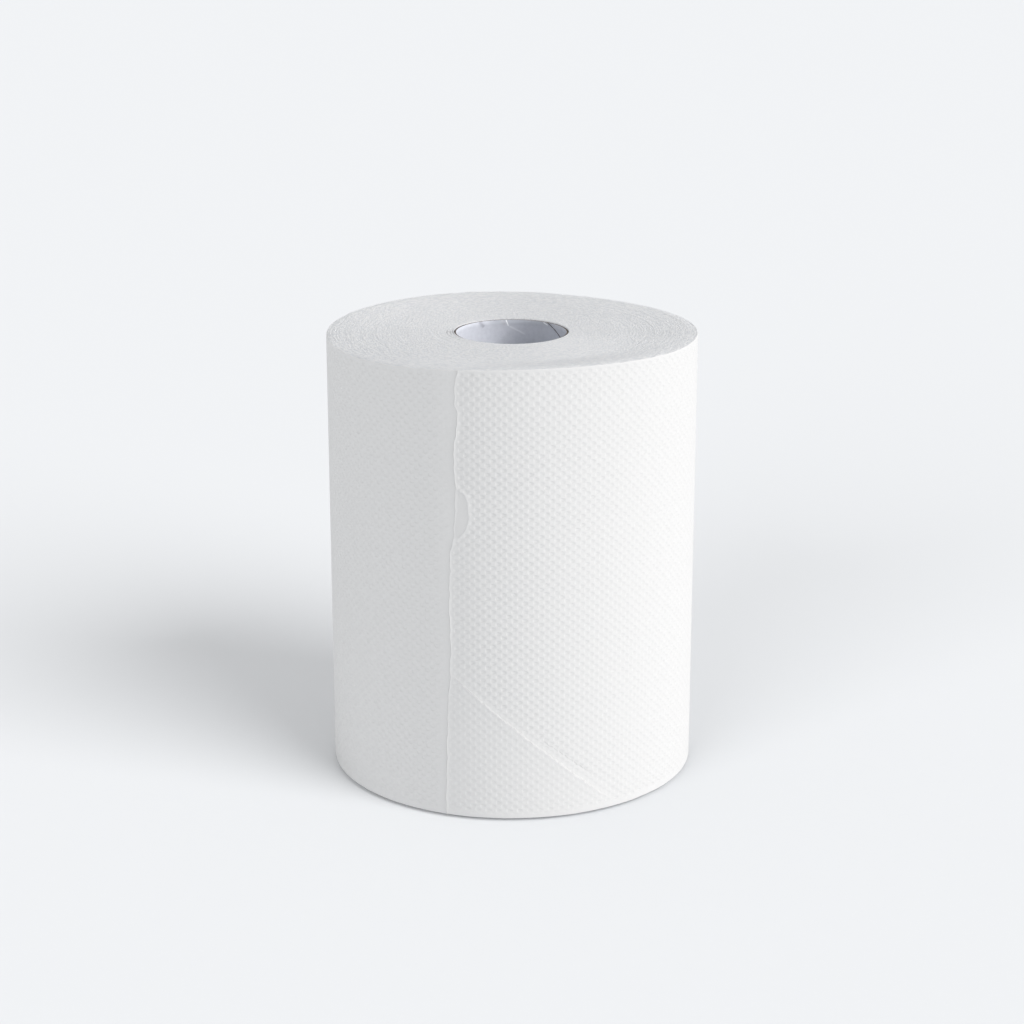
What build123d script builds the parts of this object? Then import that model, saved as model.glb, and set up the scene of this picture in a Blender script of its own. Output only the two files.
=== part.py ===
from build123d import *
import math
import os

# Paper towel roll, stood on its end: one long sheet wound round an open cardboard tube.
# Millimetres, +Z up, origin on the roll's axis in the plane it stands on.

# Wound sheet
SHEET_WIDTH = 194.0        # the roll's height as it stands
SHEET_THICKNESS = 0.3      # one embossed sheet, and so the step at its tail
ROLL_RADIUS = 80.0         # axis to the outer turn, at the tail
RIM_INSET = 1.2            # how far the soft outer rims draw in, across the end face
RIM_HEIGHT = 2.0           # and how far down the side they start to
TAIL_ANGLE = -107.0        # where the outer turn ends, degrees from +X seen from above

# Turns that show on the end faces: one groove for every so many sheets
SHEETS_PER_GROOVE = 28
GROOVE_DEPTH = 0.35
GROOVE_WIDTH = 0.9
PLAIN_MARGIN = 1.8         # ungrooved paper beside the core and beside the rounded rim

# Cardboard tube
CORE_RADIUS = 25.0         # outside
CORE_WALL = 0.8
CORE_RECESS = 0.5          # how far inside the paper each end of the tube lies
CORE_CLEARANCE = 0.1       # between the tube and the first turn

CUT_OVERRUN = 2.0          # how far a cutting body runs past what it cuts

TURN_ARCS = 4              # a turn is drawn as this many round arcs
ARC_ANGLE = 360 / TURN_ARCS

UPRIGHT = Axis((0, 0, 0), (0, 0, 1))


def direction(angle):
    """Unit vector in the XY plane, at an angle in degrees from +X."""
    return Vector(math.cos(math.radians(angle)), math.sin(math.radians(angle)))


def winding(outer_radius, pitch, arc_count):
    """Arcs of a line that closes in by one pitch each time round, from the tail inwards.

    The arcs are struck from the corners of a small square about the roll's axis, one corner
    further on for each, so that neighbours meet in line. More arcs to a turn give a small
    polygon in its place. Yields the centre, radius and first angle of each arc.
    """
    step = pitch / TURN_ARCS
    corner_distance = step / (2 * math.sin(math.radians(ARC_ANGLE / 2)))
    centre = direction(TAIL_ANGLE + ARC_ANGLE / 2 - 90) * corner_distance
    for arc in range(arc_count):
        angle = TAIL_ANGLE + arc * ARC_ANGLE
        yield centre, outer_radius - arc * step, angle
        centre = centre + direction(angle + ARC_ANGLE) * step


def swept_arc(section, centre, angle):
    """A section drawn in the XZ plane, carried through one arc about an upright line."""
    swept = revolve(section, axis=UPRIGHT, revolution_arc=ARC_ANGLE)
    return Pos(centre.X, centre.Y) * Rot(0, 0, angle) * swept


def side_section(radius):
    """Half of the roll cut through its axis, with the two rims rounded as soft paper is."""
    shoulder = radius - RIM_INSET
    lower_edge = RIM_HEIGHT
    upper_edge = SHEET_WIDTH - RIM_HEIGHT
    lower_rim = EllipticalCenterArc(
        (shoulder, lower_edge), RIM_INSET, RIM_HEIGHT, -90, arc_size=90)
    upper_rim = EllipticalCenterArc(
        (shoulder, upper_edge), RIM_INSET, RIM_HEIGHT, 0, arc_size=90)
    side = Line((radius, lower_edge), (radius, upper_edge))
    to_axis = Polyline((shoulder, SHEET_WIDTH), (0, SHEET_WIDTH), (0, 0), (shoulder, 0))
    return Plane.XZ * make_face([lower_rim, side, upper_rim, to_axis])


def wound_block():
    """The outer turn of the sheet, with its step at the tail, filled right to the axis."""
    block = Part()
    for centre, radius, angle in winding(ROLL_RADIUS, SHEET_THICKNESS, TURN_ARCS):
        block += swept_arc(side_section(radius), centre, angle)
    return block


def turn_groove():
    """The cutting body for the line between turns on the upper end face."""
    outermost = ROLL_RADIUS - RIM_INSET - PLAIN_MARGIN
    innermost = CORE_RADIUS + PLAIN_MARGIN
    pitch = SHEETS_PER_GROOVE * SHEET_THICKNESS
    arc_count = int((outermost - innermost) / pitch * TURN_ARCS)
    half = GROOVE_WIDTH / 2
    pieces = []
    for centre, radius, angle in winding(outermost, pitch, arc_count):
        outline = Polyline(
            (radius, -GROOVE_DEPTH),
            (radius + half, 0),
            (radius + half, CUT_OVERRUN),
            (radius - half, CUT_OVERRUN),
            (radius - half, 0),
            close=True,
        )
        section = Plane.XZ * Pos(0, SHEET_WIDTH) * make_face(outline)
        pieces.append(swept_arc(section, centre, angle))
    return Part() + pieces


def tube(outside_radius, inside_radius, length):
    """An open tube about the roll's axis, half its length above and half below the middle."""
    ring = Circle(outside_radius) - Circle(inside_radius)
    return Pos(0, 0, SHEET_WIDTH / 2) * extrude(ring, amount=length / 2, both=True)


def paper_roll():
    """All the turns of the sheet as one solid, bored for the tube."""
    bore_radius = CORE_RADIUS + CORE_CLEARANCE
    bore = Pos(0, 0, SHEET_WIDTH / 2) * Cylinder(bore_radius, SHEET_WIDTH + 2 * CUT_OVERRUN)
    top_groove = turn_groove()
    bottom_groove = mirror(top_groove, Plane.XY.offset(SHEET_WIDTH / 2))
    return wound_block() - bore - top_groove - bottom_groove


def core_tube():
    """The spiral-wound cardboard tube that the sheet is wound on, open from end to end."""
    return tube(CORE_RADIUS, CORE_RADIUS - CORE_WALL, SHEET_WIDTH - 2 * CORE_RECESS)


os.makedirs("parts", exist_ok=True)
export_step(paper_roll(), "parts/paper_roll.step")
export_step(core_tube(), "parts/core_tube.step")
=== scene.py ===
import math

import bpy
import numpy as np
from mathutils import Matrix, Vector


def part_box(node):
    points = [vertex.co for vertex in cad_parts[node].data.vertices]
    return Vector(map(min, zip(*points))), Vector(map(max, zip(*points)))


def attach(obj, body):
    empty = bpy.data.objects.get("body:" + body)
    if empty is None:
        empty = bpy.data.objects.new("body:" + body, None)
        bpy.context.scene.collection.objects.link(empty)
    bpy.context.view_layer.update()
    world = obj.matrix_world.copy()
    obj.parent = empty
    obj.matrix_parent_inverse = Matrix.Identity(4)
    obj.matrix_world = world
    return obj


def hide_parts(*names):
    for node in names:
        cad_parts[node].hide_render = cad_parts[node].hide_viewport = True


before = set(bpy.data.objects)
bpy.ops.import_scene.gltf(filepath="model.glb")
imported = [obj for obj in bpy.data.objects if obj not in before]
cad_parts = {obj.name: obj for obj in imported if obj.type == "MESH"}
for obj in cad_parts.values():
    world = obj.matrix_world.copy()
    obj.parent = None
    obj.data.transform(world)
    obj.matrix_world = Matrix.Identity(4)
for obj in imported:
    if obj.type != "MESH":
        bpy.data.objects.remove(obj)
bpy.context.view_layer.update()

# Paper towel roll on its end: the long embossed sheet wound round a cardboard tube.
# Metres in Blender, and sizes written as millimetres times MM. A table that holds millimetres says so.
# The axis is Z and the camera looks along +Y. Places on the sheet are (distance along it, height).

MM = 0.001
FULL_TURN = 2 * math.pi

# Sizes that come from the frame
roll_low, roll_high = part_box("paper_roll")
tube_low, tube_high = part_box("core_tube")
ROLL_RADIUS = -roll_low.y              # the outer turn near its tail, which faces the camera
ROLL_HEIGHT = roll_high.z - roll_low.z
TUBE_SLACK = 0.4 * MM                  # as seen, the tube is this much slimmer than the part's
TUBE_RADIUS = tube_high.x - TUBE_SLACK
TUBE_HEIGHT = tube_high.z - tube_low.z

# The wound sheet
SHEET_THICKNESS = 0.3 * MM
TURN_LENGTH = FULL_TURN * ROLL_RADIUS
TAIL_ANGLE = math.radians(-107)        # where the outer turn ends, seen from above
TAIL_STEP = 0.12 * MM                  # how far the turn under the tail lies below it
RIM_INSET = 0.25 * MM                  # how far the soft rims draw in across the end face
RIM_DEPTH = 0.45 * MM                  # and how far down the side they start to
RIM_FRAY = 0.9 * MM                    # the upper rim is uneven by this much at most
RIM_DROP = 0.15 * MM                   # and its last turns round off by this much
RIM_DROP_REACH = 2.5 * MM
OUTER_WALL = 0.5 * MM                  # the outer turns that are one piece with the tail
INNER_TAIL = (-6.0, 0.0, 5.0)          # the inner wall's columns at the tail, in millimetres past it
OUT_OF_ROUND = 0.2 * MM                # the roll bulges a little to the left
TURN_CLEARANCE = 0.1 * MM              # between the tube and the first turn

# The outer turns stand a little proud at the front right: (waves a turn, height, angle of a crest)
RIM_WAVES = (
    (0, 0.62 * MM, 0.0),
    (1, 0.61 * MM, math.radians(-64)),
    (2, 0.93 * MM, math.radians(-63)),
    (3, 0.23 * MM, math.radians(31)),
    (4, 0.19 * MM, math.radians(6)),
)
RIM_WAVE_REACH = 26 * MM               # how far down the side and across the end the waves fade out
FOOT_LIFT = 0.60 * MM                  # the outer turns end this far above the floor
FOOT_TILT = 0.35 * MM                  # and this much higher still round FOOT_CREST
FOOT_CREST = math.radians(-50)
FOOT_CREST_SHARPNESS = 5.0
FOOT_WAVER = 0.25 * MM                 # and their lower edge wavers by this much
FOOT_REACH = 12 * MM                   # how far up the side this fades out
FOOT_DEPTH = 14 * MM                   # how far in under the roll the gap reaches

# Emboss: dimples on a centred lattice, in line with the axis
EMBOSS_COLUMNS = 114
EMBOSS_ROWS = 51
EMBOSS_DEPTH = 0.05 * MM
CELL_WIDTH = TURN_LENGTH / EMBOSS_COLUMNS
CELL_HEIGHT = ROLL_HEIGHT / EMBOSS_ROWS
STEPS_PER_CELL = 4                     # faces across one cell each way
PRESSED_WALL = 0.215 * MM              # round bowl of a dimple, finer than the faces, as bump
DIMPLE_SKEW = 0.42
FIBRE_HEIGHT = 0.03 * MM

# The tail's edge: (height, distance past the nominal line along the sheet), in millimetres
TAIL_EDGE = (
    (0, -5.0), (30, -4.4), (50, -3.9), (62, -2.8), (76, -2.4), (95, -2.9), (116, -2.4), (127, -0.7),
    (146, 0.0), (160, -0.6), (170, 0.5), (176, 1.4), (181, -0.2), (187, 0.1), (194, 1.2),
)
LIP_LIFT = 0.28 * MM
LIP_REACH = 0.65 * MM                  # how far from the edge the lift has died down to a third
LIP_THICKNESS = 0.10 * MM

# Crescent where the top ply has peeled back from the edge: (height, distance along), in millimetres
CRESCENT_EDGE = (
    (122.8, -1.5), (125.4, 2.5), (128.2, 4.4), (130.8, 5.2), (133.4, 5.8),
    (136.4, 5.4), (139.0, 5.3), (142.7, 4.4), (145.4, 1.0), (146.2, -0.5),
)
PLY_STEP = 0.06 * MM
PLY_CURL = 0.30 * MM                   # how far the peeled ply's edge curls up

# Creases: (distance along, height) at each end in millimetres, the soft ridge's height, the sharp step's
CREASES = (
    ((-1.5, 63.9), (68.0, 4.2), 0.03 * MM, 0.44 * MM),
    ((35.4, 36.7), (58.0, 18.6), 0.0, -0.20 * MM),
    ((23.5, 144.7), (39.4, 157.8), 0.10 * MM, 0.03 * MM),
)
RIDGE_HALF_WIDTH = 0.9 * MM
CREASE_HIGHLIGHT_HALF_WIDTH = 0.42 * MM                # half the width of the painted highlight on the first crease
CREASE_JAGS = 1.7 * MM                 # how far that line runs from side to side
STEP_HALF_WIDTH = 0.37 * MM
STEP_REACH = 5.0 * MM                  # over which the sheet below a step falls back

# The small round dent on the left: where its circle lies on the sheet, and how deep it is
DENT_CENTRE = (-66.9 * MM, 105.7 * MM)
DENT_RADIUS = 10.2 * MM
DENT_DEPTH = 0.40 * MM
DENT_EDGE_ANGLE = math.radians(58)     # where on its circle the edge is sharpest
DENT_FADE = 4.5 * MM                   # from that edge inwards

# Turns seen on the end faces
FIRST_TURN_RADIUS = TUBE_RADIUS + TURN_CLEARANCE + SHEET_THICKNESS / 2
LAST_TURN_RADIUS = ROLL_RADIUS - OUTER_WALL - SHEET_THICKNESS / 2
EDGE_POINTS_PER_TURN = 128
EDGE_STAND = 1.0 * MM                  # how tall a strip of sheet edge is modelled
EDGE_WIDTH = 0.29 * MM
EDGE_HEIGHT_SPREAD = 0.10 * MM         # turns stand unevenly by this much
EDGE_WAVER = 0.05 * MM                 # and wander in and out by this much
LOOSE_ANGLE = math.radians(-160)       # where the first turns stand off the tube and each other
LOOSE_SHARPNESS = 9.0
LOOSE_REACH = 12 * MM                  # how far out from the tube they have all closed up again
LOOSE_TURNS = ((1.0, 0.45 * MM), (4.0, 0.35 * MM), (8.0, 0.35 * MM))     # (turn, gap before it)

# Cardboard tube
TUBE_WALL = 0.68 * MM
TUBE_BORE_RADIUS = TUBE_RADIUS - TUBE_WALL
TUBE_SHIFT = -0.50 * MM                # the tube sits a little to the left of the roll's middle
TUBE_SHIFT_REACH = 32 * MM             # and the turns this far out lean with it
PLY_PITCH = 82 * MM                    # height of one turn of the spiral ply seam
PLY_SEAM_ANGLE = math.radians(48.5)    # where the seam reaches the top
PLY_GAP_DEPTH = 0.45 * MM
TUBE_ROWS = 97
TUBE_COLUMNS = 118                     # besides those at the seam

# The seam across: (degrees round from it, how deep the inside lies there, below 0 where it stands up)
PLY_SEAM = (
    (-4.0, 0.0), (-2.4, 0.0), (-1.1, 0.0), (-0.9, PLY_GAP_DEPTH), (0.0, PLY_GAP_DEPTH),
    (0.2, -0.10 * MM), (1.0, -0.07 * MM), (2.0, -0.03 * MM), (3.5, 0.0),
)

# Painted shade and highlights on the liner: the dark ones are painted shade under the top rim and beside a
# small flap and a fold, the light ones painted highlights on the flap's edge, on a fold and near the
# seam's top; (degrees round, height in millimetres) at each end, half width, tone
LINER_SHADE_AND_HIGHLIGHTS = (
    ((118.0, 193.5), (38.0, 193.5), 1.7 * MM, (0.42, 0.44, 0.49)),
    ((97.0, 193.6), (94.2, 190.6), 0.24 * MM, (0.93, 0.94, 0.97)),
    ((94.2, 190.8), (76.0, 187.0), 0.40 * MM, (0.68, 0.70, 0.75)),
    ((102.0, 193.2), (97.6, 191.4), 0.70 * MM, (0.48, 0.49, 0.53)),
    ((127.0, 193.6), (121.0, 190.8), 0.90 * MM, (0.38, 0.39, 0.44)),
    ((55.0, 193.3), (48.5, 192.3), 0.22 * MM, (0.88, 0.89, 0.92)),
)

# Tones, from dark to light where there are two, and the noise scales of the patterns
PAPER_TONES = ((0.808, 0.807, 0.803), (0.834, 0.833, 0.829))
PEELED_SHADE_TONE = (0.795, 0.794, 0.790)    # painted shade on the lower ply, recessed in the crescent
CREASE_HIGHLIGHT_TONE = (0.93, 0.93, 0.925)      # painted highlight along the first crease's crest
LIP_AND_RIM_HIGHLIGHT_TONE = (0.875, 0.875, 0.87)       # painted highlight on the tail's lip and the cut upper rim
RIM_FRAY_CLOUDS = 22.0
FOOT_WAVER_CLOUDS = 6.0
PAPER_FIBRES = 2600.0
PAPER_CLOUDS = 350.0
PRESSING_CLOUDS = 330.0                # how unevenly the dimples are pressed
CREASE_CLOUDS = 420.0
EDGE_TONES = ((0.828, 0.848, 0.875), (1.0, 1.0, 1.0))
EDGE_MARKS_ROUND = 28.0
EDGE_MARKS_ACROSS = 1150.0
EDGE_FIBRES = 1000.0
LINER_TONES = ((0.49, 0.51, 0.565), (0.63, 0.65, 0.705))
LINER_FIBRES = 600.0
# the board's own brown-grey, darkened to near black by painted shade in the cut rim and the open seam
BOARD_AND_SHADE_TONES = ((0.03, 0.025, 0.02), (0.17, 0.145, 0.125))
BOARD_FIBRES = 1600.0

# Camera, measured from the photograph
CAMERA_PLACE = Vector((-0.2 * MM, -1025.8 * MM, 426.3 * MM))
CAMERA_TARGET = Vector((-0.2 * MM, 0.0, 112.0 * MM))
CAMERA_LENS = 85.35
CAMERA_SENSOR = 36.0

# Light
AMBIENT_STRENGTH = 0.705
AMBIENT_COLOUR = (0.985, 0.99, 1.0, 1.0)
LAMPS = (
    # name, what it lights, strength, azimuth, elevation and size in degrees
    ("window", "roll", 1.44, -20.5, 16, 16),
    ("window_in_tube", "tube", 3.15, -14, 35, 28),
    ("left_shadow", "floor", 3.35, -41, 34, 41),
    ("right_shadow", "floor", 1.80, -120, 20, 37),
)
WINDOW_COLOUR = (1.0, 0.975, 0.955)
FLOOR_LAMP_COLOUR = (0.98, 0.98, 0.98)
FLOOR_COLOUR = (0.567, 0.576, 0.587, 1.0)
FLOOR_REACH = 20.0
FLOOR_DROP = 0.75 * MM                 # soft paper stands on few points, so the line under it is tall
FLOOR_GLOW = 0.05                      # what the camera sees besides, so that the open floor is pale
BACKDROP_COLOUR = (0.880, 0.896, 0.913, 1.0)


# Helpers for node trees

class Term:
    """A number inside a node tree, so that a rule can be written as plain arithmetic."""

    def __init__(self, tree, socket):
        self.tree = tree
        self.socket = socket

    def apply(self, operation, *others):
        return math_term(self.tree, operation, self, *others)

    def __add__(self, other):
        return self.apply("ADD", other)

    def __radd__(self, other):
        return self.apply("ADD", other)

    def __sub__(self, other):
        return self.apply("SUBTRACT", other)

    def __rsub__(self, other):
        return math_term(self.tree, "SUBTRACT", other, self)

    def __mul__(self, other):
        return self.apply("MULTIPLY", other)

    def __rmul__(self, other):
        return self.apply("MULTIPLY", other)

    def __truediv__(self, other):
        return self.apply("DIVIDE", other)

    def __neg__(self):
        return self.apply("MULTIPLY", -1.0)

    def cosine(self):
        return self.apply("COSINE")

    def sine(self):
        return self.apply("SINE")

    def smooth_from(self, low, high):
        """Rises softly from 0 at low to 1 at high."""
        node = self.tree.nodes.new("ShaderNodeMapRange")
        node.interpolation_type = "SMOOTHSTEP"
        put(self.tree, self, node.inputs["Value"])
        put(self.tree, low, node.inputs["From Min"])
        put(self.tree, high, node.inputs["From Max"])
        return Term(self.tree, node.outputs["Result"])


def put(tree, value, socket):
    """Feeds a term into a socket, or sets a plain number on it."""
    if isinstance(value, Term):
        tree.links.new(value.socket, socket)
    else:
        socket.default_value = value


def math_term(tree, operation, *values):
    node = tree.nodes.new("ShaderNodeMath")
    node.operation = operation
    for value, socket in zip(values, node.inputs):
        put(tree, value, socket)
    return Term(tree, node.outputs[0])


def vector_term(tree, x, y, z):
    node = tree.nodes.new("ShaderNodeCombineXYZ")
    for value, socket in zip((x, y, z), node.inputs):
        put(tree, value, socket)
    return Term(tree, node.outputs[0])


def split_term(tree, vector):
    node = tree.nodes.new("ShaderNodeSeparateXYZ")
    put(tree, vector, node.inputs[0])
    return [Term(tree, socket) for socket in node.outputs]


def noise_term(tree, vector, scale, detail=2.0, roughness=0.5, seed=0.0):
    """Smooth noise from 0 to 1 with a fixed seed."""
    node = tree.nodes.new("ShaderNodeTexNoise")
    node.noise_dimensions = "4D"
    put(tree, vector, node.inputs["Vector"])
    node.inputs["W"].default_value = seed
    node.inputs["Scale"].default_value = scale
    node.inputs["Detail"].default_value = detail
    node.inputs["Roughness"].default_value = roughness
    return Term(tree, node.outputs[0])


def rim_wave(angle):
    """Height of the end face's outer edge at an angle, in a node tree."""
    return sum(height * ((angle - crest) * count).cosine() for count, height, crest in RIM_WAVES)


def around_axis(tree, angle):
    """A place on a circle at an angle, so that a pattern closes on itself round the roll."""
    return vector_term(tree, angle.cosine(), angle.sine(), 0.0)


def rim_fray(tree, angle):
    """Small unevenness of the rim at an angle, in a node tree."""
    fray = noise_term(tree, around_axis(tree, angle), RIM_FRAY_CLOUDS, detail=2.0, seed=13.0)
    return (fray - 0.5) * RIM_FRAY


def foot_rise(tree, angle):
    """How far the outer turns' lower edge stands off the floor at an angle, in a node tree."""
    waver = noise_term(tree, around_axis(tree, angle), FOOT_WAVER_CLOUDS, detail=2.0, seed=9.0)
    crest = (((angle - FOOT_CREST).cosine() - 1.0) * FOOT_CREST_SHARPNESS).apply("EXPONENT")
    return (waver - 0.5) * 2.0 * FOOT_WAVER + crest * FOOT_TILT + FOOT_LIFT


def bulge(angle):
    """How far the roll is out of round at an angle, in a node tree."""
    return (1.0 - angle.cosine()) * OUT_OF_ROUND


def line_place(along, height, start, end):
    """How far a point, as terms or arrays, lies to the side of a line, and how far along it, 0 to 1."""
    run = Vector(end) - Vector(start)
    length = run.length
    ahead = along - start[0]
    above = height - start[1]
    share = (ahead * (run.x / length ** 2)) + (above * (run.y / length ** 2))
    aside = (ahead * (run.y / length)) - (above * (run.x / length))
    return aside, share


def crease_ends(crease):
    """Both ends of a crease on the sheet, in metres."""
    return [(along * MM, height * MM) for along, height in crease[:2]]


def line_share(along, height, start, end, half_width):
    """1 on the line between two points of a surface, fading softly to its sides and its ends."""
    aside, share = line_place(along, height, start, end)
    body = (aside * aside * (-1 / half_width ** 2)).apply("EXPONENT")
    return body * share.smooth_from(-0.04, 0.14) * (1.0 - share.smooth_from(0.86, 1.04))


# Helpers for pieces

def new_piece(name, vertices, faces, materials):
    mesh = bpy.data.meshes.new(name)
    mesh.from_pydata(vertices, [], faces)
    for material in materials:
        mesh.materials.append(material)
    piece = bpy.data.objects.new(name, mesh)
    bpy.context.collection.objects.link(piece)
    return piece


def geometry_tree(name, sizes):
    """An empty geometry tree with a named input for each size, and those inputs as terms."""
    tree = bpy.data.node_groups.new(name, "GeometryNodeTree")
    tree.interface.new_socket("Geometry", in_out="INPUT", socket_type="NodeSocketGeometry")
    tree.interface.new_socket("Geometry", in_out="OUTPUT", socket_type="NodeSocketGeometry")
    for size in sizes:
        tree.interface.new_socket(size, in_out="INPUT", socket_type="NodeSocketFloat")
    group_input = tree.nodes.new("NodeGroupInput")
    terms = {size: Term(tree, group_input.outputs[size]) for size in sizes}
    return tree, group_input, terms


def end_tree(tree, geometry, material):
    """Ends a tree in Realize Instances and Set Material."""
    realize = tree.nodes.new("GeometryNodeRealizeInstances")
    set_material = tree.nodes.new("GeometryNodeSetMaterial")
    set_material.inputs["Material"].default_value = material
    group_output = tree.nodes.new("NodeGroupOutput")
    tree.links.new(geometry, realize.inputs["Geometry"])
    tree.links.new(realize.outputs["Geometry"], set_material.inputs["Geometry"])
    tree.links.new(set_material.outputs["Geometry"], group_output.inputs[0])


def apply_tree(piece, tree, sizes):
    """Runs a tree on a piece and keeps the result as the piece's own plain mesh."""
    modifier = piece.modifiers.new(tree.name, "NODES")
    modifier.node_group = tree
    for item in tree.interface.items_tree:
        if item.name in sizes:
            modifier[item.identifier] = sizes[item.name]
    depsgraph = bpy.context.evaluated_depsgraph_get()
    evaluated = piece.evaluated_get(depsgraph)
    mesh = bpy.data.meshes.new_from_object(evaluated, preserve_all_data_layers=True, depsgraph=depsgraph)
    piece.modifiers.remove(modifier)
    piece.data = mesh


def shade_smooth(piece):
    flags = np.ones(len(piece.data.polygons), dtype=bool)
    piece.data.polygons.foreach_set("use_smooth", flags)


def add_attribute(piece, name, values):
    attribute = piece.data.attributes.new(name, "FLOAT", "POINT")
    attribute.data.foreach_set("value", np.asarray(values, dtype=np.float32).ravel())


def smooth_steps(values, low, high):
    share = np.clip((values - low) / (high - low), 0.0, 1.0)
    return share * share * (3 - 2 * share)


# Materials

def new_material(name, colour, roughness, sheen=0.0):
    material = bpy.data.materials.new(name)
    material.use_nodes = True
    shader = material.node_tree.nodes["Principled BSDF"]
    shader.inputs["Base Color"].default_value = (*colour, 1.0)
    shader.inputs["Roughness"].default_value = roughness
    shader.inputs["Specular IOR Level"].default_value = 0.25
    shader.inputs["Sheen Weight"].default_value = sheen
    shader.inputs["Sheen Roughness"].default_value = 0.6
    return material


def object_place(tree):
    node = tree.nodes.new("ShaderNodeTexCoord")
    return Term(tree, node.outputs["Object"])


def add_bump(material, height):
    """Bump from a height in metres."""
    tree = material.node_tree
    node = tree.nodes.new("ShaderNodeBump")
    node.inputs["Distance"].default_value = 1.0
    node.inputs["Strength"].default_value = 1.0
    put(tree, height, node.inputs["Height"])
    tree.links.new(node.outputs["Normal"], tree.nodes["Principled BSDF"].inputs["Normal"])


def tint(tree, share, first, second):
    """A tone between two others by a share from 0 to 1."""
    node = tree.nodes.new("ShaderNodeMix")
    node.data_type = "RGBA"
    put(tree, share, node.inputs["Factor"])
    for tone, socket in ((first, node.inputs["A"]), (second, node.inputs["B"])):
        put(tree, tone if isinstance(tone, Term) else (*tone, 1.0), socket)
    return Term(tree, node.outputs["Result"])


def paint(material, tone):
    put(material.node_tree, tone, material.node_tree.nodes["Principled BSDF"].inputs["Base Color"])


def stored_place(tree, name):
    node = tree.nodes.new("ShaderNodeAttribute")
    node.attribute_name = name
    return Term(tree, node.outputs["Vector"])


def stored_share(tree, name):
    node = tree.nodes.new("ShaderNodeAttribute")
    node.attribute_name = name
    return Term(tree, node.outputs["Fac"])


def dimple_bowls(along, height):
    """1 in the bottom of each dimple and 0 between, steep on the left and gently rising to the right."""
    bowls = []
    for shift in (0.0, math.pi):
        across = along / CELL_WIDTH * FULL_TURN + shift
        upward = height / CELL_HEIGHT * FULL_TURN + shift
        skewed = across + (across.cosine() - 1.0) * DIMPLE_SKEW
        bowls.append((skewed.cosine() + 1.0) * (upward.cosine() + 1.0) * 0.25)
    return bowls[0].apply("MAXIMUM", bowls[1]).smooth_from(0.37, 1.0)


def crease_jags(tree, along, height):
    """How the creases run aside of their line, from -0.5 to 0.5."""
    place = vector_term(tree, along, height, 0.0)
    return noise_term(tree, place, CREASE_CLOUDS, detail=2.0, seed=11.0) - 0.5


def crease_highlight(tree, along, height):
    """How much painted highlight lies along the crest of the first crease, up to 0.8."""
    aside, share = line_place(along, height, *crease_ends(CREASES[0]))
    aside = aside + crease_jags(tree, along, height) * CREASE_JAGS
    body = (aside * aside * (-1 / CREASE_HIGHLIGHT_HALF_WIDTH ** 2)).apply("EXPONENT")
    return body * share.smooth_from(-0.02, 0.10) * (1.0 - share.smooth_from(0.80, 1.0)) * 0.8


def crease_steps(tree, along, height):
    """The creases as small steps, sharp above and falling back softly below, as a height."""
    jagged = crease_jags(tree, along, height)
    steps = []
    for crease in CREASES:
        aside, share = line_place(along, height, *crease_ends(crease))
        aside = aside + jagged * CREASE_JAGS
        below = (aside.apply("MAXIMUM", 0.0) * (-1 / STEP_REACH)).apply("EXPONENT")
        ends = share.smooth_from(-0.02, 0.05) * (1.0 - share.smooth_from(0.84, 1.04))
        steps.append(aside.smooth_from(-STEP_HALF_WIDTH, STEP_HALF_WIDTH) * below * ends * crease[3])
    return sum(steps)


def embossed_paper():
    """White two-ply towel: soft fibres over the embossed face."""
    material = new_material("embossed_paper", PAPER_TONES[0], 0.95, sheen=0.05)
    tree = material.node_tree
    place = object_place(tree)
    sheet_place = stored_place(tree, "sheet_place")
    along, height, _ = split_term(tree, sheet_place)
    fibres = noise_term(tree, place, PAPER_FIBRES, detail=3.0, roughness=0.6, seed=1.0)
    clouds = noise_term(tree, place, PAPER_CLOUDS, detail=2.0, seed=2.0)
    pressing = noise_term(tree, sheet_place, PRESSING_CLOUDS, detail=1.0, seed=10.0) * 0.9 + 0.55
    pressed = dimple_bowls(along, height) * stored_share(tree, "emboss_share") * pressing
    paper = tint(tree, clouds, *PAPER_TONES)
    # Painted shade: the lower ply inside the crescent is darkened where it lies recessed under the lip
    paper = tint(tree, stored_share(tree, "peeled"), paper, PEELED_SHADE_TONE)
    # Painted highlight: the first crease's crest is lightened where it catches the light
    paper = tint(tree, crease_highlight(tree, along, height), paper, CREASE_HIGHLIGHT_TONE)
    # Painted highlight along the tail's lifted lip and the outer turn's upper rim
    paint(material, tint(tree, stored_share(tree, "torn"), paper, LIP_AND_RIM_HIGHLIGHT_TONE))
    emboss = fibres * FIBRE_HEIGHT - pressed * PRESSED_WALL
    add_bump(material, emboss + crease_steps(tree, along, height))
    return material


def paper_edges():
    """Cut edges of the turns: fine marks across the turns, longer round the roll."""
    material = new_material("paper_edges", EDGE_TONES[0], 0.97)
    tree = material.node_tree
    place = object_place(tree)
    x, y, _ = split_term(tree, place)
    radius = (x * x + y * y).apply("SQRT")
    wound = vector_term(tree, x / radius * EDGE_MARKS_ROUND, y / radius * EDGE_MARKS_ROUND,
                        radius * EDGE_MARKS_ACROSS)
    turns = noise_term(tree, wound, 1.0, detail=1.0, roughness=0.6, seed=3.0).smooth_from(0.33, 0.67)
    fibres = noise_term(tree, place, EDGE_FIBRES, detail=2.0, roughness=0.7, seed=12.0)
    grain = turns * 0.7 + fibres.smooth_from(0.33, 0.67) * 0.3
    paint(material, tint(tree, grain, *EDGE_TONES))
    add_bump(material, turns * (0.16 * MM) + fibres * (0.12 * MM))
    return material


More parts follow.
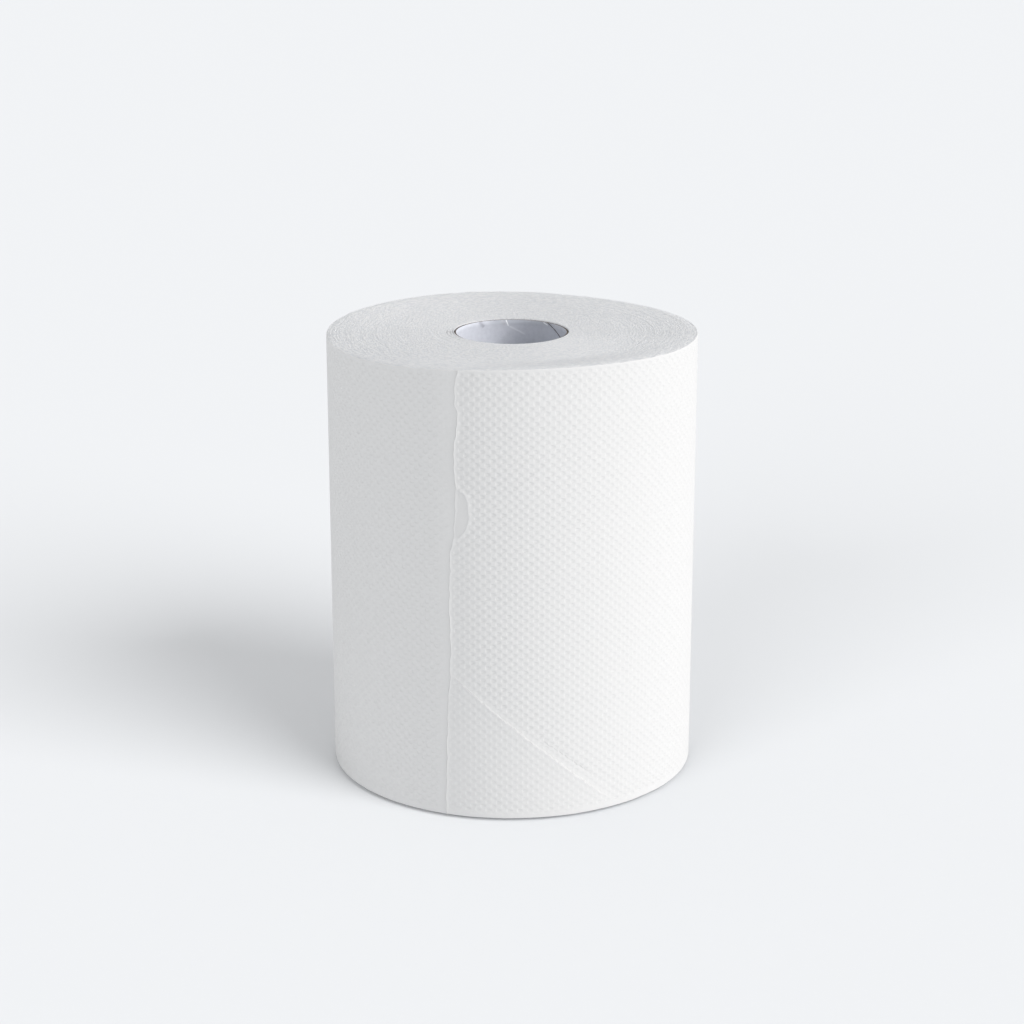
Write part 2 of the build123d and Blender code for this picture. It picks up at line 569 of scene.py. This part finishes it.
def tube_liner():
    """Pale blue-grey board inside the tube, with painted shade and highlights near its top."""
    material = new_material("tube_liner", LINER_TONES[0], 0.85)
    tree = material.node_tree
    place = object_place(tree)
    x, y, height = split_term(tree, place)
    around = y.apply("ARCTAN2", x) * TUBE_BORE_RADIUS
    fibres = noise_term(tree, place, LINER_FIBRES, detail=3.0, roughness=0.6, seed=4.0)
    tone = tint(tree, fibres, *LINER_TONES)
    # painted shade and painted highlights over the liner's own tone
    for *ends, half_width, painted_tone in LINER_SHADE_AND_HIGHLIGHTS:
        start, end = ((math.radians(degrees) * TUBE_BORE_RADIUS, level * MM) for degrees, level in ends)
        tone = tint(tree, line_share(around, height, start, end, half_width), tone, painted_tone)
    paint(material, tone)
    add_bump(material, fibres * (0.06 * MM))
    return material


def cut_board_and_shade():
    """Brown-grey core of the board where the tube is cut, darkened with painted shade."""
    material = new_material("cut_board_and_shade", BOARD_AND_SHADE_TONES[0], 0.95)
    tree = material.node_tree
    fibres = noise_term(tree, object_place(tree), BOARD_FIBRES, detail=3.0, seed=5.0)
    paint(material, tint(tree, fibres.smooth_from(0.3, 0.7), *BOARD_AND_SHADE_TONES))
    add_bump(material, fibres * (0.10 * MM))
    return material


# The outer turn with its tail

def eased_line(points, heights):
    """Distances at the given heights on a soft line through (height, distance) points in millimetres."""
    result = np.zeros_like(heights)
    for (low, first), (high, second) in zip(points, points[1:]):
        share = smooth_steps(heights, low * MM, high * MM)
        inside = (heights >= low * MM) & (heights <= high * MM)
        result = np.where(inside, (first + (second - first) * share) * MM, result)
    return result


def tail_edge(heights):
    """Where the tail's torn edge lies along the sheet, with a fine waver."""
    waver = np.sin(heights / (1.9 * MM)) * 0.16 + np.sin(heights / (0.83 * MM) + 1.0) * 0.13
    return eased_line(TAIL_EDGE, heights) + waver * MM


def crescent_line(heights):
    """Where the top ply's edge lies along the sheet: on the tail's edge, apart from the crescent."""
    edge = tail_edge(heights)
    peeled = (heights > CRESCENT_EDGE[0][0] * MM) & (heights < CRESCENT_EDGE[-1][0] * MM)
    return np.where(peeled, np.maximum(eased_line(CRESCENT_EDGE, heights), edge), edge)


def sheet_rows():
    """Heights of the sheet's rows: even on the emboss, finer round the soft rims."""
    rim = np.array([0.0, 0.15, 0.45, 0.95]) * MM
    step = CELL_HEIGHT / STEPS_PER_CELL
    even = np.arange(2, EMBOSS_ROWS * STEPS_PER_CELL - 1) * step
    return np.concatenate([rim, even, ROLL_HEIGHT - rim[::-1]])


def sheet_columns(heights):
    """Distance along the sheet by row and column, the first even column, the even and the lip's counts."""
    edge = tail_edge(heights)[:, None]
    crescent = np.maximum(crescent_line(heights)[:, None], edge + 1.9 * MM)
    near_edge = edge + np.array([0.0, 0.2, 0.45, 0.8, 1.3]) * MM
    at_crescent = crescent + np.array([-0.5, -0.15, 0.0, 0.25, 0.7]) * MM
    step = CELL_WIDTH / STEPS_PER_CELL
    even = np.arange(8, EMBOSS_COLUMNS * STEPS_PER_CELL - 7) * step
    shares = np.arange(1, 9) / 9
    spread = at_crescent[:, -1:] * (1 - shares) + even[0] * shares
    before_edge = edge + TURN_LENGTH + np.array([-2.4, -1.2, -0.5, -0.12]) * MM
    under_lip = edge + TURN_LENGTH + np.array([0.3, 1.0, 2.0]) * MM
    lip_back = edge + TURN_LENGTH + np.array([1.9, 1.0, 0.4, 0.08]) * MM
    even_rows = np.repeat(even[None, :], len(heights), axis=0)
    parts = [near_edge, at_crescent, spread, even_rows, before_edge, under_lip, lip_back]
    first_even = sum(part.shape[1] for part in parts[:3])
    return np.concatenate(parts, axis=1), first_even, len(even), lip_back.shape[1]


def lip_lift(from_edge, heights, lift=LIP_LIFT):
    """How far the tail's lip curls off the roll."""
    variation = 0.8 + 0.2 * np.sin(heights / (11 * MM)) + 0.15 * np.sin(heights / (4.3 * MM))
    return lift * variation * np.exp(-np.clip(from_edge, 0.0, None) / LIP_REACH)


def peeled_share(along, heights):
    """How open the crescent is at a height, and 1 where the top ply is gone inside it, 0 elsewhere."""
    crescent = crescent_line(heights)
    opened = smooth_steps(crescent - tail_edge(heights), 0.6 * MM, 1.8 * MM)
    return opened, opened * (1 - smooth_steps(along - crescent, -0.15 * MM, 0.15 * MM))


def lip_and_rim_highlight_share(along, heights):
    """1 on the thin torn lip and the cut upper rim, where a highlight is painted."""
    from_edge = along - crescent_line(heights)
    fibres = smooth_steps(from_edge, -0.2 * MM, 0.0) * (1 - smooth_steps(from_edge, 0.15 * MM, 0.6 * MM))
    uneven = 0.7 + 0.3 * np.sin(heights / (1.3 * MM)) * np.sin(heights / (3.1 * MM))
    lip = fibres * uneven * (0.3 + 0.7 * smooth_steps(heights, 45 * MM, 75 * MM))
    rim = smooth_steps(heights, ROLL_HEIGHT - 0.5 * MM, ROLL_HEIGHT - 0.1 * MM)
    return np.maximum(lip, rim)


def sheet_relief(along, heights):
    """Height of the sheet above its winding line: lip, peeled crescent, creases and dent."""
    opened, inside = peeled_share(along, heights)
    curl = LIP_LIFT + (PLY_CURL - LIP_LIFT) * opened
    relief = lip_lift(along - crescent_line(heights), heights, curl) * (1 - inside) - PLY_STEP * inside
    for crease in CREASES:
        aside, share = line_place(along, heights, *crease_ends(crease))
        ends = smooth_steps(share, -0.05, 0.12) * (1 - smooth_steps(share, 0.9, 1.05))
        relief += crease[2] * ends * np.exp(-(aside / RIDGE_HALF_WIDTH) ** 2)
    return relief - DENT_DEPTH * dent_share(along, heights)


def dent_share(along, heights):
    """1 just inside the dent's round upper right edge, and softly back to 0 to the lower left."""
    across = along - TURN_LENGTH - DENT_CENTRE[0]
    upward = heights - DENT_CENTRE[1]
    inside = DENT_RADIUS - np.hypot(across, upward)
    arc = np.exp(-(np.arctan2(upward, across) - DENT_EDGE_ANGLE) ** 2 / 0.55)
    fading = np.exp(-(np.clip(inside, 0.0, None) / DENT_FADE) ** 2)
    return arc * smooth_steps(inside, -0.9 * MM, 1.0 * MM) * fading


def emboss_share(along, heights):
    """How deeply the dimples are pressed, 0 to 1: less at the rims, tail, first crease and dent."""
    from_edge = along - crescent_line(heights)
    before = TURN_LENGTH - (along - tail_edge(heights))
    share = smooth_steps(from_edge, 0.2 * MM, 2.4 * MM) * smooth_steps(before, 0.5 * MM, 6.0 * MM)
    share *= smooth_steps(heights, 0.8 * MM, 4.0 * MM)
    share *= smooth_steps(ROLL_HEIGHT - heights, 0.2 * MM, 2.0 * MM)
    aside, place = line_place(along, heights, *crease_ends(CREASES[0]))
    beside = smooth_steps(place, -0.1, 0.1) * (1 - smooth_steps(place, 0.9, 1.1))
    flat = np.exp(-(aside / (2 * RIDGE_HALF_WIDTH)) ** 2)
    below = smooth_steps(aside, 0.0, 4.0 * MM) * (1 - smooth_steps(along, 60 * MM, 75 * MM))
    share *= (1 - 0.8 * beside * flat) * (1 - 0.35 * below)
    return share * (1 - 0.7 * dent_share(along, heights))


def sheet_shape(along, high, lip_count):
    """How far each point of the flat sheet lies inwards, how far it is raised, and its emboss share."""
    rim_place = np.clip(1 - np.minimum(high, ROLL_HEIGHT - high) / RIM_DEPTH, 0.0, 1.0)
    inwards = RIM_INSET * (1 - np.sqrt(1 - rim_place ** 2))
    past_tail = along - TURN_LENGTH - tail_edge(high)
    lip_back = np.zeros(along.shape[1], dtype=bool)
    lip_back[-lip_count:] = True
    inwards = np.where(lip_back, inwards - (TAIL_STEP - LIP_THICKNESS), inwards)
    relief = np.where(past_tail > 0, 0.0, sheet_relief(along, high))
    relief = np.where(lip_back, lip_lift(past_tail, high), relief)
    share = np.where(past_tail > 0, 0.0, emboss_share(along, high))
    return inwards, relief, share


def inner_columns(even):
    """The inner wall's columns, as distance along the sheet and distance inwards."""
    along = np.concatenate([even, TURN_LENGTH + np.array(INNER_TAIL) * MM])
    turns = along / TURN_LENGTH
    wall = OUTER_WALL - turns * TAIL_STEP + (1 - turns) * SHEET_THICKNESS
    wall[-1] += SHEET_THICKNESS / 2
    return along, wall


def flat_sheet(material):
    """The outer turn laid out flat, X along the sheet, Y inwards and Z up, and joined in a ring."""
    heights = sheet_rows()
    along, first_even, even_count, lip_count = sheet_columns(heights)
    rows, columns = along.shape
    high = np.repeat(heights[:, None], columns, axis=1)
    inwards, relief, share = sheet_shape(along, high, lip_count)
    vertices = [np.stack([along, inwards, high], axis=2).reshape(-1, 3)]

    # The inner wall has one column for each cell of the emboss, and a few behind the tail
    inner_along, wall = inner_columns(along[0, first_even:first_even + even_count:STEPS_PER_CELL])
    inner_count = len(inner_along)
    for height in (0.0, ROLL_HEIGHT):
        vertices.append(np.stack([inner_along, wall, np.full(inner_count, height)], axis=1))

    def outer(row, column):
        return row * columns + column % columns

    def inner(end, column):
        return rows * columns + end * inner_count + column % inner_count

    # Each square is cut in two so that no cut runs through the middle of a dimple
    faces = []
    for row in range(rows - 1):
        for column in range(columns):
            square = [(row, column), (row, column + 1), (row + 1, column + 1), (row + 1, column)]
            corners = [outer(*corner) for corner in square]
            if (row + column + first_even) % 2 == 0:
                corners = corners[1:] + corners[:1]
            faces.append((corners[0], corners[1], corners[2]))
            faces.append((corners[0], corners[2], corners[3]))
    for column in range(inner_count):
        faces.append((inner(0, column + 1), inner(0, column), inner(1, column), inner(1, column + 1)))

    # End bands from the rims to the inner wall, the last of them round the tail
    even_inner = inner_count - len(INNER_TAIL)
    bands = []
    for column in range(even_inner - 1):
        start = first_even + STEPS_PER_CELL * column
        bands.append((range(start, start + STEPS_PER_CELL + 1), range(column, column + 2)))
    tail_columns = range(first_even + even_count - 1, columns + first_even + 1)
    bands.append((tail_columns, range(even_inner - 1, inner_count + 1)))
    for outer_columns, inner_side in bands:
        for row, end in ((rows - 1, 1), (0, 0)):
            rim = [outer(row, column) for column in outer_columns]
            back = [inner(end, column) for column in reversed(inner_side)]
            band = rim + back
            faces.append(tuple(band if end else reversed(band)))

    piece = new_piece("outer_turn", np.concatenate(vertices).tolist(), faces, [material])
    spare = np.zeros(2 * inner_count)
    shares = {
        "relief": relief,
        "emboss_share": share,
        "peeled": peeled_share(along, high)[1],
        # where the highlight is painted on the lip and the upper rim
        "torn": lip_and_rim_highlight_share(along, high),
    }
    for name, values in shares.items():
        add_attribute(piece, name, np.concatenate([values.ravel(), spare]))
    return piece, 2 * len(bands)


def winding_tree(material):
    """Winds the flat sheet round the axis and presses the dimples into it."""
    sizes = ("Radius", "Tail Step", "Tail Angle", "Cell Width", "Cell Height", "Emboss Depth")
    tree, group_input, size = geometry_tree("wind_and_emboss", sizes)

    def attribute(name):
        node = tree.nodes.new("GeometryNodeInputNamedAttribute")
        node.data_type = "FLOAT"
        node.inputs["Name"].default_value = name
        return Term(tree, node.outputs["Attribute"])

    position = tree.nodes.new("GeometryNodeInputPosition")
    along, inwards, height = split_term(tree, Term(tree, position.outputs[0]))
    across = (along / size["Cell Width"] * FULL_TURN).cosine()
    upward = (height / size["Cell Height"] * FULL_TURN).cosine()
    lattice = across * upward
    dimple = lattice.apply("MAXIMUM", 0.0)
    laid_out = vector_term(tree, along, 0.0, height)
    unevenness = noise_term(tree, laid_out, 60.0, detail=1.0, seed=6.0) + 0.5
    pressed = dimple * attribute("emboss_share") * unevenness * size["Emboss Depth"]
    angle = along / size["Radius"] + size["Tail Angle"]
    turns = along / (size["Radius"] * FULL_TURN)
    radius = size["Radius"] - turns * size["Tail Step"] - inwards + bulge(angle)
    radius = radius + attribute("relief") - pressed
    wave = rim_wave(angle) * height.smooth_from(ROLL_HEIGHT - RIM_WAVE_REACH, ROLL_HEIGHT)
    at_rim = height.smooth_from(ROLL_HEIGHT - RIM_DROP_REACH, ROLL_HEIGHT)
    rim = (rim_fray(tree, angle) - RIM_DROP - EDGE_HEIGHT_SPREAD) * at_rim
    foot = foot_rise(tree, angle) * (1.0 - height.smooth_from(0.0, FOOT_REACH))
    lifted = height + wave + rim + foot
    place = vector_term(tree, radius * angle.cosine(), radius * angle.sine(), lifted)
    sheet_place = vector_term(tree, along, height, 0.0)
    store = tree.nodes.new("GeometryNodeStoreNamedAttribute")
    store.data_type = "FLOAT_VECTOR"
    store.domain = "POINT"
    store.inputs["Name"].default_value = "sheet_place"
    tree.links.new(group_input.outputs["Geometry"], store.inputs["Geometry"])
    put(tree, sheet_place, store.inputs["Value"])
    move = tree.nodes.new("GeometryNodeSetPosition")
    tree.links.new(store.outputs["Geometry"], move.inputs["Geometry"])
    put(tree, place, move.inputs["Position"])
    end_tree(tree, move.outputs["Geometry"], material)
    return tree


def outer_turn(edges):
    paper = embossed_paper()
    piece, band_count = flat_sheet(paper)
    shade_smooth(piece)
    apply_tree(piece, winding_tree(paper), {
        "Radius": ROLL_RADIUS,
        "Tail Step": TAIL_STEP,
        "Tail Angle": TAIL_ANGLE,
        "Cell Width": CELL_WIDTH,
        "Cell Height": CELL_HEIGHT,
        "Emboss Depth": EMBOSS_DEPTH,
    })
    piece.data.materials.append(edges)
    for band in piece.data.polygons[-band_count:]:
        band.material_index = 1
        band.use_smooth = False
    return piece


# Edges of the turns on both end faces

def edge_tree(material):
    """One strip of sheet edge, wound from the tube out to the outer turns."""
    sizes = ("First Radius", "Last Radius", "Turns", "Tail Angle", "Strip Width", "Strip Height",
             "Face Height", "Upward", "Wave Share", "Foot Share", "Height Spread", "Waver")
    tree, _, size = geometry_tree("wind_sheet_edge", sizes)
    spiral = tree.nodes.new("GeometryNodeCurveSpiral")
    spiral.inputs["Resolution"].default_value = EDGE_POINTS_PER_TURN
    spiral.inputs["Height"].default_value = 0.0
    spiral.inputs["Reverse"].default_value = True
    put(tree, size["Turns"], spiral.inputs["Rotations"])
    put(tree, size["First Radius"], spiral.inputs["Start Radius"])
    put(tree, size["Last Radius"], spiral.inputs["End Radius"])
    index = Term(tree, tree.nodes.new("GeometryNodeInputIndex").outputs[0])
    turn = index / float(EDGE_POINTS_PER_TURN)
    growth = (size["Last Radius"] - size["First Radius"]) / size["Turns"]
    even_radius = size["First Radius"] + growth * turn
    angle = size["Tail Angle"] - turn * FULL_TURN
    whole_turn = turn.apply("FLOOR")
    slow = vector_term(tree, angle.cosine(), angle.sine(), whole_turn * 0.37)
    unevenness = noise_term(tree, slow, 0.9, detail=1.0, seed=7.0) - 1.0
    lively = vector_term(tree, angle.cosine() * 9.0, angle.sine() * 9.0, turn * 0.8)
    wander = noise_term(tree, lively, 1.0, detail=1.0, seed=8.0) - 0.5
    standing_off = ((angle - LOOSE_ANGLE).cosine() - 1.0) * LOOSE_SHARPNESS
    gaps = sum(turn.smooth_from(number - 0.3, number) * gap for number, gap in LOOSE_TURNS)
    loose = standing_off.apply("EXPONENT") * gaps
    loose_end = FIRST_TURN_RADIUS + LOOSE_REACH
    near_tube = 1.0 - even_radius.smooth_from(FIRST_TURN_RADIUS + 3 * MM, loose_end)
    inner_turns = even_radius.smooth_from(FIRST_TURN_RADIUS, FIRST_TURN_RADIUS + 2 * MM)
    outer_turns = 1.0 - even_radius.smooth_from(LAST_TURN_RADIUS - 2 * MM, LAST_TURN_RADIUS)
    radius = even_radius + wander * size["Waver"] * 2.0 * inner_turns * outer_turns + loose * near_tube
    wave = rim_wave(angle) * even_radius.smooth_from(ROLL_RADIUS - RIM_WAVE_REACH, ROLL_RADIUS)
    rim_start = LAST_TURN_RADIUS - RIM_DROP_REACH
    at_rim = even_radius.smooth_from(rim_start, LAST_TURN_RADIUS + SHEET_THICKNESS)
    wave = wave + (rim_fray(tree, angle) - RIM_DROP) * at_rim
    height = size["Face Height"] + size["Upward"] * (
        unevenness * size["Height Spread"] * 2.0 - size["Strip Height"] * 0.5)
    at_foot = even_radius.smooth_from(ROLL_RADIUS - FOOT_DEPTH, ROLL_RADIUS - OUTER_WALL)
    foot = foot_rise(tree, angle) * at_foot
    radius = radius + bulge(angle) * (even_radius / ROLL_RADIUS)
    with_tube = 1.0 - even_radius.smooth_from(FIRST_TURN_RADIUS, FIRST_TURN_RADIUS + TUBE_SHIFT_REACH)
    place = vector_term(tree, radius * angle.cosine() + with_tube * TUBE_SHIFT, radius * angle.sine(),
                        height + wave * size["Wave Share"] + foot * size["Foot Share"])
    move = tree.nodes.new("GeometryNodeSetPosition")
    tree.links.new(spiral.outputs["Curve"], move.inputs["Geometry"])
    put(tree, place, move.inputs["Position"])
    upright = tree.nodes.new("GeometryNodeSetCurveNormal")
    upright.mode = "Z_UP"
    tree.links.new(move.outputs["Geometry"], upright.inputs[0])
    section = tree.nodes.new("GeometryNodeCurvePrimitiveQuadrilateral")
    put(tree, size["Strip Width"], section.inputs["Width"])
    put(tree, size["Strip Height"], section.inputs["Height"])
    strip = tree.nodes.new("GeometryNodeCurveToMesh")
    strip.inputs["Fill Caps"].default_value = True
    tree.links.new(upright.outputs[0], strip.inputs["Curve"])
    tree.links.new(section.outputs["Curve"], strip.inputs["Profile Curve"])
    end_tree(tree, strip.outputs["Mesh"], material)
    return tree


def sheet_edges(name, tree, face_height, upward):
    """The turns' edges on the upper end face (upward 1) or the lower one (upward -1)."""
    piece = new_piece(name, [], [], [])
    apply_tree(piece, tree, {
        "First Radius": FIRST_TURN_RADIUS,
        "Last Radius": LAST_TURN_RADIUS,
        "Turns": (LAST_TURN_RADIUS - FIRST_TURN_RADIUS) / SHEET_THICKNESS,
        "Tail Angle": TAIL_ANGLE,
        "Strip Width": EDGE_WIDTH,
        "Strip Height": EDGE_STAND,
        "Face Height": face_height,
        "Upward": upward,
        "Wave Share": max(upward, 0.0),
        "Foot Share": max(-upward, 0.0),
        "Height Spread": EDGE_HEIGHT_SPREAD,
        "Waver": EDGE_WAVER,
    })
    return piece


def turned_ring(name, profile, segments, material):
    """A ring turned from a closed profile of (radius, height) points, up inside and down outside."""
    count = len(profile)
    vertices = []
    for segment in range(segments):
        angle = FULL_TURN * segment / segments
        for radius, height in profile:
            vertices.append((radius * math.cos(angle), radius * math.sin(angle), height))
    faces = []
    for segment in range(segments):
        start = segment * count
        following = (segment + 1) % segments * count
        for point in range(count):
            after = (point + 1) % count
            faces.append((start + point, start + after, following + after, following + point))
    return new_piece(name, vertices, faces, [material])


def wound_turns(material):
    """The body of the roll behind the sheet edges: all the turns between them as one solid."""
    low = EDGE_HEIGHT_SPREAD * 2.5
    high = ROLL_HEIGHT - low
    inner = TUBE_RADIUS + TURN_CLEARANCE - TUBE_SHIFT
    outer = LAST_TURN_RADIUS - SHEET_THICKNESS / 2
    loose = inner + 5 * MM                 # nearer the tube the body lies deeper, under the loose turns
    upper = [(outer - RIM_WAVE_REACH * share, high) for share in (1.0, 0.75, 0.5, 0.25, 0.1, 0.0)]
    profile = [
        (inner, low), (inner, high - EDGE_STAND * 1.5), (loose, high), *upper,
        (outer, low + FOOT_LIFT), (outer - FOOT_DEPTH, low),
    ]
    piece = turned_ring("wound_turns", profile, segments=256, material=material)
    for vertex in piece.data.vertices:
        if vertex.co.z > ROLL_HEIGHT / 2:
            angle = math.atan2(vertex.co.y, vertex.co.x)
            wave = sum(height * math.cos((angle - crest) * count) for count, height, crest in RIM_WAVES)
            radius = vertex.co.xy.length
            vertex.co.z += wave * smooth_steps(radius, ROLL_RADIUS - RIM_WAVE_REACH, ROLL_RADIUS)
            vertex.co.z -= RIM_DROP * smooth_steps(radius, outer - RIM_DROP_REACH, outer)
    return piece


# The cardboard tube

def core_tube():
    """A tube wound from board strip: its inside shows the spiral seam between the plies."""
    seam_angles = np.radians([degrees for degrees, _ in PLY_SEAM])
    plain = np.linspace(seam_angles[-1], seam_angles[0] + FULL_TURN, TUBE_COLUMNS + 2)[1:-1]
    angles = np.concatenate([seam_angles, plain])
    columns = len(angles)
    depths = np.zeros(columns)
    depths[:len(PLY_SEAM)] = [depth for _, depth in PLY_SEAM]
    heights = tube_low.z + np.arange(TUBE_ROWS) * TUBE_HEIGHT / (TUBE_ROWS - 1)
    vertices = []
    for reach in (TUBE_BORE_RADIUS + depths, np.full(columns, TUBE_RADIUS)):
        for height in heights:
            turned = angles + PLY_SEAM_ANGLE + (height - tube_high.z) / PLY_PITCH * FULL_TURN
            x = reach * np.cos(turned) + TUBE_SHIFT
            y = reach * np.sin(turned)
            vertices.extend(zip(x.tolist(), y.tolist(), [height] * columns))
    outside = TUBE_ROWS * columns
    top = outside - columns
    walls = []
    cuts = []
    for column in range(columns):
        after = (column + 1) % columns
        for row in range(TUBE_ROWS - 1):
            here = row * columns
            above = here + columns
            walls.append((here + after, here + column, above + column, above + after))
            walls.append((outside + here + column, outside + here + after,
                          outside + above + after, outside + above + column))
        cuts.append((top + column, outside + top + column, outside + top + after, top + after))
        cuts.append((after, outside + after, outside + column, column))
    piece = new_piece("core_tube_board", vertices, walls + cuts, [tube_liner(), cut_board_and_shade()])
    shade_smooth(piece)
    for polygon in piece.data.polygons[len(walls):]:
        polygon.material_index = 1
        polygon.use_smooth = False
    paint_open_seam(piece, depths)
    return piece


def paint_open_seam(piece, depths):
    """Gives the inside of the tube the cut board's material, darkened with painted shade, where the seam
    stands open.
    """
    for column in range(len(PLY_SEAM) - 1):
        if max(depths[column], depths[column + 1]) > 0:
            for row in range(TUBE_ROWS - 1):
                piece.data.polygons[2 * (column * (TUBE_ROWS - 1) + row)].material_index = 1


# Floor, light and camera

def backdrop_share(tree):
    """1 for the rays that see the backdrop itself, 0 for the rays that light the object."""
    node = tree.nodes.new("ShaderNodeLightPath")
    share = Term(tree, node.outputs["Is Camera Ray"])
    for name in ("Is Glossy Ray", "Is Transmission Ray"):
        share = share.apply("MAXIMUM", Term(tree, node.outputs[name]))
    return share


def floor_material():
    material = bpy.data.materials.new("floor")
    material.use_nodes = True
    tree = material.node_tree
    shader = tree.nodes["Principled BSDF"]
    shader.inputs["Base Color"].default_value = FLOOR_COLOUR
    shader.inputs["Roughness"].default_value = 1.0
    shader.inputs["Specular IOR Level"].default_value = 0.0
    shader.inputs["Emission Color"].default_value = (1.0, 1.0, 1.0, 1.0)
    put(tree, backdrop_share(tree) * FLOOR_GLOW, shader.inputs["Emission Strength"])
    return material


def lay_floor():
    square = ((-1, -1), (1, -1), (1, 1), (-1, 1))
    corners = [(x * FLOOR_REACH, y * FLOOR_REACH, -FLOOR_DROP) for x, y in square]
    floor = new_piece("floor", corners, [(0, 1, 2, 3)], [floor_material()])
    return floor


def light_studio():
    world = bpy.data.worlds.new("studio")
    world.use_nodes = True
    bpy.context.scene.world = world
    tree = world.node_tree
    ambient = tree.nodes["Background"]
    ambient.inputs["Color"].default_value = AMBIENT_COLOUR
    ambient.inputs["Strength"].default_value = AMBIENT_STRENGTH
    backdrop = tree.nodes.new("ShaderNodeBackground")
    backdrop.inputs["Color"].default_value = BACKDROP_COLOUR
    mix = tree.nodes.new("ShaderNodeMixShader")
    put(tree, backdrop_share(tree), mix.inputs[0])
    tree.links.new(ambient.outputs[0], mix.inputs[1])
    tree.links.new(backdrop.outputs[0], mix.inputs[2])
    tree.links.new(mix.outputs[0], tree.nodes["World Output"].inputs["Surface"])


def hang_lamps(lit):
    """Soft far lamps at an azimuth and an elevation, each for one group of pieces alone."""
    for name, target, strength, azimuth, elevation, size in LAMPS:
        light = bpy.data.lights.new(name, "SUN")
        light.energy = strength
        light.angle = math.radians(size)
        light.color = FLOOR_LAMP_COLOUR if target == "floor" else WINDOW_COLOUR
        if target == "roll":
            light.cycles.max_bounces = 0   # so that it does not light the floor off the roll
        lamp = bpy.data.objects.new(name, light)
        bpy.context.collection.objects.link(lamp)
        across = math.cos(math.radians(elevation))
        towards = Vector((
            across * math.cos(math.radians(azimuth)),
            across * math.sin(math.radians(azimuth)),
            math.sin(math.radians(elevation)),
        ))
        lamp.rotation_euler = towards.to_track_quat("Z", "Y").to_euler()
        lamp.light_linking.receiver_collection = lit[target]


def lit_group(name, pieces):
    group = bpy.data.collections.new(name)
    for piece in pieces:
        group.objects.link(piece)
    return group


def place_camera():
    camera = bpy.data.cameras.new("camera")
    camera.lens = CAMERA_LENS
    camera.sensor_width = CAMERA_SENSOR
    camera.clip_end = 100
    view = bpy.data.objects.new("camera", camera)
    bpy.context.collection.objects.link(view)
    view.location = CAMERA_PLACE
    view.rotation_euler = (CAMERA_TARGET - CAMERA_PLACE).to_track_quat("-Z", "Y").to_euler()
    bpy.context.scene.camera = view


# The scene

bpy.context.scene.view_settings.view_transform = "Standard"
place_camera()
light_studio()
floor = lay_floor()

edges_material = paper_edges()
strip_tree = edge_tree(edges_material)
paper_pieces = [
    outer_turn(edges_material),
    wound_turns(edges_material),
    sheet_edges("top_edges", strip_tree, ROLL_HEIGHT, 1.0),
    sheet_edges("bottom_edges", strip_tree, 0.0, -1.0),
]
for paper_piece in paper_pieces:
    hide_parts("paper_roll")
    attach(paper_piece, "root")

tube = core_tube()
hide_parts("core_tube")
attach(tube, "root")

hang_lamps({
    "roll": lit_group("lit_roll", paper_pieces),
    "tube": lit_group("lit_tube", [tube]),
    "floor": lit_group("lit_floor", [floor]),
})
